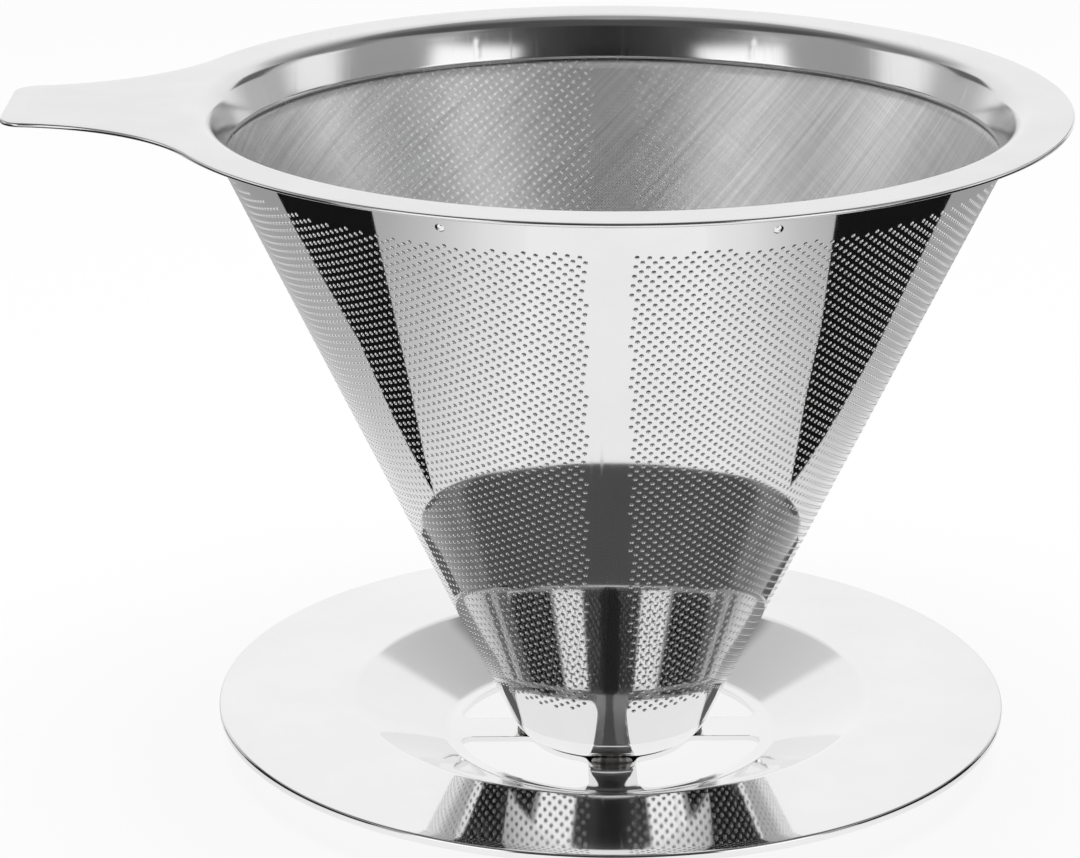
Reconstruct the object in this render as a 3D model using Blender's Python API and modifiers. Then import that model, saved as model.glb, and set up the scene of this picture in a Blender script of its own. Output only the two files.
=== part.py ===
"""Pour over dripper: a perforated steel cone with a mesh lining, on a saucer stand.

Metres, +Z up. The origin is the middle of the object's footprint at the underside of the
stand's hub. The handle points along -X and the cone's axis is a little to the +X side.
"""

import math

import bpy

MM = 0.001

# Driving dimensions, in millimetres. Heights are counted from the underside of the hub.
RIM_RADIUS = 62.5
RIM_TOP = 93.25
RIM_THICKNESS = 0.6
RIM_BEND = 3.0
COLLAR_DEPTH = 6.0
COLLAR_MOUTH_RADIUS = 55.25

HANDLE_REACH = 82.5
HANDLE_HALF_WIDTH = 10.9
HANDLE_FILLET = 30.0
HANDLE_CORNER = 3.5
HANDLE_OVERLAP = 3.0

CONE_APEX = -26.66
CONE_HALF_ANGLE = math.radians(25.25)
CONE_TOP = 91.75
CONE_BOTTOM = 4.4
CONE_THICKNESS = 0.4

MESH_TOP = 85.95
MESH_BOTTOM = 4.2
MESH_THICKNESS = 0.35
HEM_TOP = 86.95
FLOOR_TOP = 3.9
FLOOR_HEIGHT = 1.8
FLOOR_BEND = 3.4

FOOT_TOP = 4.1
FOOT_HEIGHT = 1.1
FOOT_BEND = 4.2
DRAIN_RADIUS = 8.5

STAND_RADIUS = 56.0
STAND_THICKNESS = 0.8
BRIM_TOP = 6.8
BRIM_LIP = 1.2
BRIM_EDGE_BEND = 1.0
RECESS_RADIUS = 36.7
RECESS_FLOOR_RADIUS = 23.5
RECESS_BEND = 3.0
WINDOW_INNER_RADIUS = 11.5
WINDOW_OUTER_RADIUS = 22.0
WINDOW_CORNER = 1.8
ARM_HALF_WIDTH = 3.4

BEAD_RADIUS = 0.75
BEAD_CIRCLE = 14.4
BEAD_HALF_ANGLE = math.radians(11.0)

GAP = 0.3
SEGMENTS = 72
SMALL_SEGMENTS = 36
ARC_STEPS = 3

# The rim and the handle's tip are equally far from the origin along X.
AXIS_X = (HANDLE_REACH - RIM_RADIUS) / 2
HUB_TOP = STAND_THICKNESS


def clear_scene():
    for obj in list(bpy.data.objects):
        bpy.data.objects.remove(obj, do_unlink=True)


def new_collection(name):
    collection = bpy.data.collections.new(name)
    bpy.context.scene.collection.children.link(collection)
    return collection


def material(name, colour, roughness, metallic=1.0):
    mat = bpy.data.materials.new(name)
    mat.use_nodes = True
    shader = mat.node_tree.nodes["Principled BSDF"]
    shader.inputs["Base Color"].default_value = (*colour, 1.0)
    shader.inputs["Roughness"].default_value = roughness
    shader.inputs["Metallic"].default_value = metallic
    mat.diffuse_color = (*colour, 1.0)
    return mat


# Outlines

def arc(centre, radius, start, end, steps):
    """Points on a circle from one angle to another, both ends included."""
    points = []
    for i in range(steps + 1):
        angle = start + (end - start) * i / steps
        points.append((centre[0] + radius * math.cos(angle), centre[1] + radius * math.sin(angle)))
    return points


def direction(a, b):
    length = math.dist(a, b)
    return (b[0] - a[0]) / length, (b[1] - a[1]) / length


def bent_path(ends_and_bends, steps=ARC_STEPS):
    """A path of straight runs, with each inner corner (x, y, radius) turned into an arc."""
    path = [ends_and_bends[0][:2]]
    for before, corner, after in zip(ends_and_bends, ends_and_bends[1:], ends_and_bends[2:]):
        into = direction(before[:2], corner[:2])
        out = direction(corner[:2], after[:2])
        turn = math.atan2(into[0] * out[1] - into[1] * out[0], into[0] * out[0] + into[1] * out[1])
        side = math.copysign(1.0, turn)
        setback = corner[2] * math.tan(abs(turn) / 2)
        first = (corner[0] - into[0] * setback, corner[1] - into[1] * setback)
        centre = (first[0] - into[1] * side * corner[2], first[1] + into[0] * side * corner[2])
        start = math.atan2(first[1] - centre[1], first[0] - centre[0])
        path += arc(centre, corner[2], start, start + turn, steps)
    path.append(ends_and_bends[-1][:2])
    return path


def offset_path(path, distance):
    """The same path moved sideways to its right, with mitred corners."""
    moved = []
    for i, point in enumerate(path):
        into = direction(path[i - 1], point) if i > 0 else direction(point, path[1])
        out = direction(point, path[i + 1]) if i < len(path) - 1 else into
        normal = (into[1] + out[1], -into[0] - out[0])
        scale = 2 * distance / (normal[0] ** 2 + normal[1] ** 2)
        moved.append((point[0] + normal[0] * scale, point[1] + normal[1] * scale))
    return moved


def sheet_outline(path, thickness):
    """A closed outline of sheet metal, with the path as one face and the other to its right."""
    return path + offset_path(path, thickness)[::-1]


def wall_radius(height, inset=0.0):
    """Radius of the cone's outer face at a height, less a distance square to the wall."""
    return (height - CONE_APEX) * math.tan(CONE_HALF_ANGLE) - inset / math.cos(CONE_HALF_ANGLE)


# Solids

def add_object(name, data, collection, parent, mat=None):
    obj = bpy.data.objects.new(name, data)
    collection.objects.link(obj)
    obj.parent = parent
    if mat is not None:
        data.materials.append(mat)
    return obj


def turned(name, outline, collection, parent, mat, segments=SEGMENTS, closed=True):
    """Spins an outline of (radius, height) points about the object's Z axis."""
    mesh = bpy.data.meshes.new(name)
    count = len(outline)
    edges = [(i, i + 1) for i in range(count - 1)]
    if closed:
        edges.append((count - 1, 0))
    mesh.from_pydata([(r * MM, 0.0, z * MM) for r, z in outline], edges, [])
    obj = add_object(name, mesh, collection, parent, mat)
    screw = obj.modifiers.new("Turn", 'SCREW')
    screw.axis = 'Z'
    screw.steps = segments
    screw.render_steps = segments
    screw.use_merge_vertices = True
    screw.merge_threshold = 0.00001
    screw.use_smooth_shade = True
    return obj


def flat_curve(name, outline, thickness):
    """A closed flat outline, thickened evenly above and below its plane."""
    curve = bpy.data.curves.new(name, 'CURVE')
    curve.dimensions = '2D'
    curve.fill_mode = 'BOTH'
    curve.extrude = thickness * MM / 2
    spline = curve.splines.new('POLY')
    spline.points.add(len(outline) - 1)
    for point, (x, y) in zip(spline.points, outline):
        point.co = (x * MM, y * MM, 0.0, 1.0)
    spline.use_cyclic_u = True
    return curve


def curve_to_mesh(curve, weld=0.00001):
    """The curve's shape as a mesh of its own, with its caps welded on."""
    import bmesh
    holder = bpy.data.objects.new(curve.name, curve)
    bpy.context.scene.collection.objects.link(holder)
    evaluated = holder.evaluated_get(bpy.context.evaluated_depsgraph_get())
    mesh = bpy.data.meshes.new_from_object(evaluated)
    bpy.data.objects.remove(holder, do_unlink=True)
    work = bmesh.new()
    work.from_mesh(mesh)
    bmesh.ops.remove_doubles(work, verts=work.verts, dist=weld)
    bmesh.ops.recalc_face_normals(work, faces=work.faces)
    work.to_mesh(mesh)
    work.free()
    return mesh


def boolean(obj, cutter, operation):
    cutter.hide_render = True
    cutter.display_type = 'WIRE'
    modifier = obj.modifiers.new(cutter.name, 'BOOLEAN')
    modifier.operation = operation
    modifier.object = cutter


# Parts

def handle_outline():
    """A tongue with a rounded tip that flares into the rim along two fillets."""
    fillet_y = HANDLE_HALF_WIDTH + HANDLE_FILLET
    fillet_x = -math.sqrt((RIM_RADIUS + HANDLE_FILLET) ** 2 - fillet_y ** 2)
    corner_x = -HANDLE_REACH + HANDLE_CORNER
    reach = HANDLE_FILLET + HANDLE_CORNER
    corner_y = fillet_y - math.sqrt(reach ** 2 - (corner_x - fillet_x) ** 2)
    to_fillet = math.atan2(fillet_y - corner_y, fillet_x - corner_x)
    to_rim = math.atan2(-fillet_y, -fillet_x)
    half = arc((corner_x, corner_y), HANDLE_CORNER, math.pi, to_fillet, 6)
    half += arc((fillet_x, fillet_y), HANDLE_FILLET, to_fillet - math.pi, to_rim, 12)[1:]
    tangent = math.atan2(fillet_y, fillet_x)
    half += arc((0.0, 0.0), RIM_RADIUS - HANDLE_OVERLAP, tangent, math.pi, 6)[:-1]
    return half + [(x, -y) for x, y in reversed(half)]


def make_rim(parts, cutters, axis, steel):
    """The flat rim with its handle, and the short collar drawn down inside the cone."""
    collar_low = RIM_TOP - COLLAR_DEPTH
    low_radius = COLLAR_MOUTH_RADIUS - COLLAR_DEPTH * math.tan(CONE_HALF_ANGLE)
    face = bent_path([
        (low_radius, collar_low),
        (COLLAR_MOUTH_RADIUS, RIM_TOP, RIM_BEND),
        (RIM_RADIUS, RIM_TOP),
    ])
    rim = turned("rim_with_handle", sheet_outline(face, RIM_THICKNESS), parts, axis, steel)

    # The tongue is a hair thinner than the rim, so that their faces don't coincide.
    tongue = curve_to_mesh(flat_curve("handle_tongue", handle_outline(), RIM_THICKNESS - 0.02))
    handle = add_object("handle_tongue", tongue, cutters, axis)
    handle.location.z = (RIM_TOP - RIM_THICKNESS / 2) * MM
    boolean(rim, handle, 'UNION')


def make_cone(parts, axis, steel):
    """The rolled outer cone, which tapers evenly from the rim down to the foot."""
    face = [(wall_radius(CONE_BOTTOM), CONE_BOTTOM), (wall_radius(CONE_TOP), CONE_TOP)]
    outline = sheet_outline(face[::-1], CONE_THICKNESS)
    turned("outer_cone", outline, parts, axis, steel)


def make_mesh_lining(parts, axis, mesh_steel, steel):
    """The woven lining: a hemmed top edge, the cone of mesh and its dished floor."""
    inset = CONE_THICKNESS + GAP
    hem = [(wall_radius(z, inset), z) for z in (HEM_TOP, MESH_TOP + GAP)]
    turned("mesh_hem_ring", sheet_outline(hem, MESH_THICKNESS), parts, axis, steel)

    wall = [(wall_radius(z, inset), z) for z in (MESH_TOP, MESH_BOTTOM)]
    turned("mesh_cone", sheet_outline(wall, MESH_THICKNESS), parts, axis, mesh_steel)

    dish = bent_path([
        (wall_radius(FLOOR_TOP, inset), FLOOR_TOP),
        (wall_radius(FLOOR_HEIGHT, inset), FLOOR_HEIGHT, FLOOR_BEND),
        (0.0, FLOOR_HEIGHT),
    ])
    outline = sheet_outline(dish, MESH_THICKNESS)
    last = len(dish) - 1
    # The outline is opened at the axis, so that both faces close in a single point there.
    opened = outline[last + 1:] + outline[:last + 1]
    turned("mesh_floor", opened, parts, axis, mesh_steel, SMALL_SEGMENTS, closed=False)


def make_foot(parts, axis, steel):
    """The rounded cup that closes the bottom of the cone around a drain hole."""
    face = bent_path([
        (wall_radius(FOOT_TOP), FOOT_TOP),
        (wall_radius(FOOT_HEIGHT), FOOT_HEIGHT, FOOT_BEND),
        (DRAIN_RADIUS, FOOT_HEIGHT),
    ])
    turned("foot_cup", sheet_outline(face, CONE_THICKNESS), parts, axis, steel, SMALL_SEGMENTS)


def window_outline():
    """A quarter of a ring between two arms, with all four corners rounded."""
    low = ARM_HALF_WIDTH + WINDOW_CORNER
    outer = WINDOW_OUTER_RADIUS - WINDOW_CORNER
    inner = WINDOW_INNER_RADIUS + WINDOW_CORNER
    outer_x = math.sqrt(outer ** 2 - low ** 2)
    inner_x = math.sqrt(inner ** 2 - low ** 2)
    outer_angle = math.atan2(low, outer_x)
    inner_angle = math.atan2(low, inner_x)
    quarter = math.pi / 2

    half = arc((inner_x, low), WINDOW_CORNER, inner_angle + math.pi, 3 * quarter, 4)
    half += arc((outer_x, low), WINDOW_CORNER, -quarter, outer_angle, 4)
    mirrored = [(y, x) for x, y in reversed(half)]
    outer_arc = arc((0.0, 0.0), WINDOW_OUTER_RADIUS, outer_angle, quarter - outer_angle, 12)
    inner_arc = arc((0.0, 0.0), WINDOW_INNER_RADIUS, quarter - inner_angle, inner_angle, 8)
    return half + outer_arc[1:-1] + mirrored + inner_arc[1:-1]


def make_stand(parts, cutters, axis, steel):
    """The saucer that sits on a mug: a flat brim around a recess with four windows."""
    face = bent_path([
        (STAND_RADIUS, BRIM_TOP - BRIM_LIP),
        (STAND_RADIUS, BRIM_TOP, BRIM_EDGE_BEND),
        (RECESS_RADIUS, BRIM_TOP, RECESS_BEND),
        (RECESS_FLOOR_RADIUS, HUB_TOP, RECESS_BEND),
        (DRAIN_RADIUS, HUB_TOP),
    ])
    outline = sheet_outline(face[::-1], STAND_THICKNESS)
    stand = turned("saucer_stand", outline, parts, axis, steel)

    window = curve_to_mesh(flat_curve("window", window_outline(), 4 * STAND_THICKNESS))
    for side in ("front_right", "back_right", "back_left", "front_left"):
        cutter = add_object("window_" + side, window, cutters, axis)
        turns = ("back_right", "back_left", "front_left", "front_right").index(side)
        cutter.rotation_euler.z = turns * math.pi / 2
        cutter.location.z = HUB_TOP * MM / 2
        boolean(stand, cutter, 'DIFFERENCE')


def make_weld_beads(parts, axis, weld_steel):
    """A bead of weld along the foot on top of each of the stand's four arms."""
    angles = {"right": 0.0, "back": 0.5 * math.pi, "left": math.pi, "front": 1.5 * math.pi}
    for side, angle in angles.items():
        name = "weld_bead_" + side
        curve = bpy.data.curves.new(name, 'CURVE')
        curve.dimensions = '3D'
        curve.bevel_depth = BEAD_RADIUS * MM
        curve.bevel_resolution = 2
        curve.use_fill_caps = True
        points = arc((0.0, 0.0), BEAD_CIRCLE, angle - BEAD_HALF_ANGLE, angle + BEAD_HALF_ANGLE, 6)
        spline = curve.splines.new('POLY')
        spline.points.add(len(points) - 1)
        for point, (x, y) in zip(spline.points, points):
            point.co = (x * MM, y * MM, 0.0, 1.0)
        bead = add_object(name, curve_to_mesh(curve), parts, axis, weld_steel)
        bead.location.z = (HUB_TOP + GAP + BEAD_RADIUS) * MM
        bead.data.shade_smooth()


def main():
    clear_scene()
    parts = new_collection("pour_over_dripper")
    cutters = new_collection("cutters")
    axis = bpy.data.objects.new("cone_axis", None)
    axis.location.x = AXIS_X * MM
    parts.objects.link(axis)

    polished = material("polished_steel", (0.80, 0.80, 0.80), 0.08)
    satin = material("satin_steel", (0.84, 0.84, 0.84), 0.22)
    perforated = material("perforated_steel", (0.78, 0.78, 0.78), 0.12)
    woven = material("woven_steel", (0.55, 0.55, 0.56), 0.42)
    hem = material("hem_steel", (0.72, 0.72, 0.72), 0.25)
    foot = material("foot_steel", (0.80, 0.80, 0.81), 0.10)
    weld = material("weld_steel", (0.35, 0.34, 0.33), 0.45)

    make_rim(parts, cutters, axis, satin)
    make_cone(parts, axis, perforated)
    make_mesh_lining(parts, axis, woven, hem)
    make_foot(parts, axis, foot)
    make_stand(parts, cutters, axis, polished)
    make_weld_beads(parts, axis, weld)


main()
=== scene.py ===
import math

import bpy
import numpy as np
from mathutils import Euler, Matrix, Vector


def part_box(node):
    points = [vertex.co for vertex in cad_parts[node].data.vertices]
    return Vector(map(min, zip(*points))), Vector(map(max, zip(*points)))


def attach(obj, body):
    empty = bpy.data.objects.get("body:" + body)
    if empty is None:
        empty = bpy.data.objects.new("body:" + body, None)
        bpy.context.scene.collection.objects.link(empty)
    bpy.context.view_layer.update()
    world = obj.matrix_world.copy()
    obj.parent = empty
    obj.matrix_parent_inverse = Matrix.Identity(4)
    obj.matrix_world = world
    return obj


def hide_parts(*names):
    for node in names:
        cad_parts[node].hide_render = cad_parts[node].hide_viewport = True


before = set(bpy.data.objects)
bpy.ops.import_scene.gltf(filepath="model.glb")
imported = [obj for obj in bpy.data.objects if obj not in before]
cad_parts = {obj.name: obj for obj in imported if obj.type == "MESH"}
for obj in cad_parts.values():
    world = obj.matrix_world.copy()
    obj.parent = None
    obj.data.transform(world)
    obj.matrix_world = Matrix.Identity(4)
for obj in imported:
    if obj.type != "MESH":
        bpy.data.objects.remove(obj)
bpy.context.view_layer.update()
print("frame loaded:", len(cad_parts), "nodes")

mm = 0.001
tau = 2 * math.pi

# Places read from the frame, in millimetres
rimLow, rimHigh = (np.array(corner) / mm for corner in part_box("rim_with_handle"))
coneLow, coneHigh = (np.array(corner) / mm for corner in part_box("outer_cone"))
standLow, standHigh = (np.array(corner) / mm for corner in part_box("saucer_stand"))
footLow, footHigh = (np.array(corner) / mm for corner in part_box("foot_cup"))
axisX = (coneLow[0] + coneHigh[0]) / 2
rimRadius = (rimHigh[1] - rimLow[1]) / 2
rimTop = rimHigh[2]
standRadius = (standHigh[1] - standLow[1]) / 2
brimTop = standHigh[2]
handleReach = axisX - rimLow[0]

wall = {
    "halfAngle": math.radians(25.25),  # half of the cone's opening
    "apex": -26.66,                    # height where the outer face would come to a point
    "thickness": 0.4,
}
seamTurn = math.radians(-1.9)          # the plain front strip, turned a little towards the handle
crispAngle = math.radians(60)          # small faces that meet more steeply than this keep a crisp edge


# small tools

def wallRadius(z, inset=0.0):
    # radius of the cone's outer face at height z, less a distance square to the wall
    return (z - wall["apex"]) * math.tan(wall["halfAngle"]) - inset / math.cos(wall["halfAngle"])


def arcPoints(centre, radius, start, end, count):
    # points on a circle from one angle to another
    t = np.linspace(start, end, count)
    return np.stack([centre[0] + radius * np.cos(t), centre[1] + radius * np.sin(t)], 1)


def bentPath(corners, step=10):
    # straight runs through the corners (x, y, radius), each inner corner rounded by an arc
    pts = [np.array([corners[0][:2]], float)]
    for before, corner, after in zip(corners, corners[1:], corners[2:]):
        a, c, b = (np.array(p[:2], float) for p in (before, corner, after))
        into = (c - a) / np.linalg.norm(c - a)
        out = (b - c) / np.linalg.norm(b - c)
        turn = math.atan2(into[0] * out[1] - into[1] * out[0], into @ out)
        side = math.copysign(1.0, turn)
        first = c - into * corner[2] * math.tan(abs(turn) / 2)
        centre = first + side * corner[2] * np.array([-into[1], into[0]])
        start = math.atan2(first[1] - centre[1], first[0] - centre[0])
        pts.append(arcPoints(centre, corner[2], start, start + turn, step))
    pts.append(np.array([corners[-1][:2]], float))
    return np.concatenate(pts)


def pathNormals(path, closed=False):
    # unit normals to the right of a path, averaged at its points
    if closed:
        d = np.roll(path, -1, 0) - np.roll(path, 1, 0)
    else:
        d = np.gradient(path, axis=0)
        seg = np.diff(path, axis=0)
        seg /= np.linalg.norm(seg, axis=1, keepdims=True)
        d[1:-1] = seg[1:] + seg[:-1]
    d /= np.linalg.norm(d, axis=1, keepdims=True)
    return np.stack([d[:, 1], -d[:, 0]], 1)


def splitRuns(path, longest):
    # adds points to a path wherever a straight run is longer than the given length
    seg = np.linalg.norm(np.diff(path, axis=0), axis=1)
    counts = np.maximum(1, np.ceil(seg / longest)).astype(int)
    index = np.repeat(np.arange(len(seg)), counts)
    within = np.concatenate([np.arange(c) for c in counts]) / counts[index]
    pts = path[index] + within[:, None] * (path[index + 1] - path[index])
    return np.vstack([pts, path[-1:]])


def sheetLoop(path, thickness, capSteps=7):
    # closed outline of sheet metal: one face, a half-round edge, the other face, a half-round edge
    n = pathNormals(path)
    other = path + n * thickness
    radius = thickness / 2

    def cap(a, b, outward):
        mid = (a + b) / 2
        t = np.linspace(0, math.pi, capSteps)[1:-1, None]
        return mid + (a - mid) * np.cos(t) + outward * radius * np.sin(t)

    endTangent = np.array([-n[-1][1], n[-1][0]])
    startTangent = np.array([-n[0][1], n[0][0]])
    return np.vstack([
        path,
        cap(path[-1], other[-1], endTangent),
        other[::-1],
        cap(other[0], path[0], -startTangent),
    ])


def addMesh(name, verts, faces, uv=None):
    # verts in millimetres; faces is a list of index arrays, each of one polygon size
    mesh = bpy.data.meshes.new(name)
    loops = np.concatenate([f.ravel() for f in faces]).astype(np.int32)
    sizes = np.concatenate([np.full(len(f), f.shape[1]) for f in faces]).astype(np.int32)
    starts = np.concatenate([[0], np.cumsum(sizes)[:-1]]).astype(np.int32)
    mesh.vertices.add(len(verts))
    mesh.vertices.foreach_set("co", (np.asarray(verts) * mm).astype(np.float32).ravel())
    mesh.loops.add(len(loops))
    mesh.loops.foreach_set("vertex_index", loops)
    mesh.polygons.add(len(sizes))
    mesh.polygons.foreach_set("loop_start", starts)
    mesh.polygons.foreach_set("loop_total", sizes)
    mesh.polygons.foreach_set("use_smooth", np.ones(len(sizes), bool))
    if uv is not None:
        # one pair for each vertex, or one for each corner of each face
        pairs = uv.reshape(-1, 2) if uv.ndim == 3 else uv[loops]
        layer = mesh.uv_layers.new(name="flatSheet")
        layer.data.foreach_set("uv", pairs.astype(np.float32).ravel())
    mesh.update(calc_edges=True)
    mesh.validate()
    obj = bpy.data.objects.new(name, mesh)
    bpy.context.scene.collection.objects.link(obj)
    return obj


def gridFaces(rows, cols, wrapRows=True, wrapCols=True):
    # quads of a rows x cols grid of points, wrapped round in either direction
    i = np.arange(rows if wrapRows else rows - 1)[:, None]
    j = np.arange(cols if wrapCols else cols - 1)[None, :]
    i2 = (i + 1) % rows
    j2 = (j + 1) % cols
    quad = np.stack(np.broadcast_arrays(i * cols + j, i2 * cols + j, i2 * cols + j2, i * cols + j2), -1)
    return quad.reshape(-1, 4)


def faceOut(verts, faces):
    # turns all faces over if together they enclose a negative volume
    total = 0.0
    for f in faces:
        for k in range(1, f.shape[1] - 1):
            a, b, c = (verts[f[:, corner]] for corner in (0, k, k + 1))
            total += np.einsum("ij,ij->i", a, np.cross(b, c)).sum()
    return faces if total > 0 else [f[:, ::-1] for f in faces]


def aroundAxis(r, turn, z):
    # points at a radius and a height, turned about the cone's axis from its front
    return np.stack(np.broadcast_arrays(axisX + r * np.sin(turn), -r * np.cos(turn), z), -1)


def spin(loop, count):
    # an outline of (radius, height) carried round the cone's axis
    t = np.linspace(0, tau, count, endpoint=False)[:, None]
    r, z = loop.T
    return np.stack(np.broadcast_arrays(axisX + r * np.cos(t), r * np.sin(t), z), -1)


def turnedPiece(name, loop, count):
    verts = spin(loop, count).reshape(-1, 3)
    return addMesh(name, verts, faceOut(verts, [gridFaces(count, len(loop))]))


def cappedTube(name, rings):
    # rings of points joined into a tube, closed by one flat face at each end
    rows, cols = rings.shape[:2]
    verts = rings.reshape(-1, 3)
    first = np.arange(cols)[None, :]
    ends = [first, (rows - 1) * cols + first[:, ::-1]]
    return addMesh(name, verts, faceOut(verts, [gridFaces(rows, cols, wrapRows=False)] + ends))


def keep(piece, steel, slot, *nodes):
    # the piece takes its steel, rides on the one body and stands for the named nodes
    piece.data.materials.append(steel)
    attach(piece, "root")
    if nodes:
        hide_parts(*nodes)


# shader tools and the two shader groups

def newGroup(name, inputs, outputs):
    group = bpy.data.node_groups.new(name, "ShaderNodeTree")
    for label, kind, value in inputs:
        socket = group.interface.new_socket(label, in_out="INPUT", socket_type=kind)
        if value is not None:
            socket.default_value = value
    for label, kind in outputs:
        group.interface.new_socket(label, in_out="OUTPUT", socket_type=kind)
    nodes = group.nodes
    return group, nodes, group.links, nodes.new("NodeGroupInput"), nodes.new("NodeGroupOutput")


def calculator(nodes, links):
    # gives calc(operation, a, b), which adds one Math node; a and b are sockets or numbers
    def calc(operation, a, b=None, clamp=False):
        node = nodes.new("ShaderNodeMath")
        node.operation = operation
        node.use_clamp = clamp
        for socket, value in zip(node.inputs, (a, b)):
            if hasattr(value, "links"):
                links.new(value, socket)
            elif value is not None:
                socket.default_value = value
        return node.outputs[0]
    return calc


def mapRange(nodes, links, value, start, end, low=0.0, high=1.0):
    # carries start..end of a value to low..high and holds it beyond them
    node = nodes.new("ShaderNodeMapRange")
    for label, number in zip(("From Min", "From Max", "To Min", "To Max"), (start, end, low, high)):
        node.inputs[label].default_value = number
    links.new(value, node.inputs["Value"])
    return node


def axesOf(nodes, links, coordinate):
    # a texture coordinate's X, Y and Z
    coords = nodes.new("ShaderNodeTexCoord")
    split = nodes.new("ShaderNodeSeparateXYZ")
    links.new(coords.outputs[coordinate], split.inputs["Vector"])
    return split.outputs


def fillRamp(ramp, stops):
    # stops are (position, colour) in order; a new ramp already has its first two
    points = ramp.color_ramp.elements
    for k, (position, colour) in enumerate(stops):
        point = points[k] if k < 2 else points.new(1.0)
        point.position = position
        point.color = (*colour, 1.0)


def makePolishGroup():
    # roughness and height of a polished sheet: cloudy haze, hairline scratches, faint buffing waves
    group, nodes, links, gin, gout = newGroup(
        "sheetPolish",
        [("Roughness", "NodeSocketFloat", 0.08), ("Haze", "NodeSocketFloat", 0.05),
         ("Haze Scale", "NodeSocketFloat", 60.0), ("Scratches", "NodeSocketFloat", 0.3),
         ("Scratch Scale", "NodeSocketFloat", 900.0)],
        [("Roughness", "NodeSocketFloat"), ("Height", "NodeSocketFloat"), ("Mask", "NodeSocketFloat")])
    calc = calculator(nodes, links)
    coords = nodes.new("ShaderNodeTexCoord")
    haze = nodes.new("ShaderNodeTexNoise")
    haze.inputs["Detail"].default_value = 5.0
    haze.inputs["Roughness"].default_value = 0.6
    links.new(coords.outputs["Object"], haze.inputs["Vector"])
    links.new(gin.outputs["Haze Scale"], haze.inputs["Scale"])
    stretch = nodes.new("ShaderNodeMapping")
    stretch.inputs["Rotation"].default_value = (0.3, 0.2, 0.6)
    stretch.inputs["Scale"].default_value = (1.0, 0.035, 0.035)    # noise drawn out into hairlines
    links.new(coords.outputs["Object"], stretch.inputs["Vector"])
    scratch = nodes.new("ShaderNodeTexNoise")
    scratch.inputs["Detail"].default_value = 3.0
    links.new(stretch.outputs["Vector"], scratch.inputs["Vector"])
    links.new(gin.outputs["Scratch Scale"], scratch.inputs["Scale"])
    lines = mapRange(nodes, links, scratch.outputs["Fac"], 0.58, 0.80)    # only the peaks are scratches
    scaled = calc("MULTIPLY", lines.outputs["Result"], gin.outputs["Scratches"])
    centred = calc("SUBTRACT", haze.outputs["Fac"], 0.42)
    cloudy = calc("MULTIPLY", centred, gin.outputs["Haze"])
    hazed = calc("ADD", gin.outputs["Roughness"], cloudy)
    lined = calc("MULTIPLY", scaled, 0.25)              # scratches are a little rougher
    rough = calc("ADD", hazed, lined, clamp=True)
    links.new(rough, gout.inputs["Roughness"])
    height = calc("SUBTRACT", haze.outputs["Fac"], scaled)
    links.new(height, gout.inputs["Height"])
    links.new(haze.outputs["Fac"], gout.inputs["Mask"])
    return group


def makeWeaveGroup():
    # two sets of wires crossing over and under: cover, height, and a brightness of its own for each wire
    group, nodes, links, gin, gout = newGroup(
        "wireWeave",
        [("Vector", "NodeSocketVector", None), ("Pitch", "NodeSocketFloat", 0.3),
         ("Cover", "NodeSocketFloat", 0.6), ("Streaks", "NodeSocketFloat", 0.5)],
        [("Cover", "NodeSocketFloat"), ("Height", "NodeSocketFloat"), ("Shade", "NodeSocketFloat")])
    split = nodes.new("ShaderNodeSeparateXYZ")
    links.new(gin.outputs["Vector"], split.inputs["Vector"])
    calc = calculator(nodes, links)
    waves, streaks = [], []
    for along, across in (("X", "Y"), ("Y", "X")):
        turned = calc("DIVIDE", split.outputs[along], gin.outputs["Pitch"])
        phase = calc("MULTIPLY", turned, math.pi)
        wave = calc("ABSOLUTE", calc("SINE", phase))
        waves.append(wave)
        wire = calc("ROUND", turned)
        slow = calc("MULTIPLY", split.outputs[across], 0.07)    # a streak runs far along its wire
        place = nodes.new("ShaderNodeCombineXYZ")
        links.new(wire, place.inputs["X"])
        links.new(slow, place.inputs["Y"])
        place.inputs["Z"].default_value = 3.0 if along == "X" else 9.0    # the two sets differ
        noise = nodes.new("ShaderNodeTexNoise")
        noise.inputs["Scale"].default_value = 0.83
        noise.inputs["Detail"].default_value = 2.0
        links.new(place.outputs["Vector"], noise.inputs["Vector"])
        streaks.append(noise.outputs["Fac"])
    top = calc("MAXIMUM", waves[0], waves[1])
    edge = calc("SUBTRACT", 1.0, gin.outputs["Cover"])
    over = calc("SUBTRACT", top, edge)
    cover = calc("MULTIPLY", over, 9.0, clamp=True)    # a wire's edge is crisp
    links.new(cover, gout.inputs["Cover"])
    product = calc("MULTIPLY", waves[0], waves[1])
    height = calc("SUBTRACT", top, calc("MULTIPLY", product, 0.4))
    links.new(height, gout.inputs["Height"])
    both = calc("ADD", streaks[0], calc("MULTIPLY", streaks[1], 0.35))
    offset = calc("SUBTRACT", both, 0.675)    # their mean
    strong = calc("MULTIPLY", offset, gin.outputs["Streaks"])
    links.new(calc("ADD", strong, 1.0), gout.inputs["Shade"])
    return group


polishGroup = makePolishGroup()
weaveGroup = makeWeaveGroup()


def newMaterial(name, settings):
    # a material whose Principled shader starts with the given settings
    mat = bpy.data.materials.new(name)
    mat.use_nodes = True
    nodes = mat.node_tree.nodes
    shader = nodes["Principled BSDF"]
    for label, value in settings.items():
        shader.inputs[label].default_value = value
    return mat, nodes, mat.node_tree.links, shader


def useGroup(nodes, group, values):
    node = nodes.new("ShaderNodeGroup")
    node.node_tree = group
    for label, value in values.items():
        node.inputs[label].default_value = value
    return node


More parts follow.
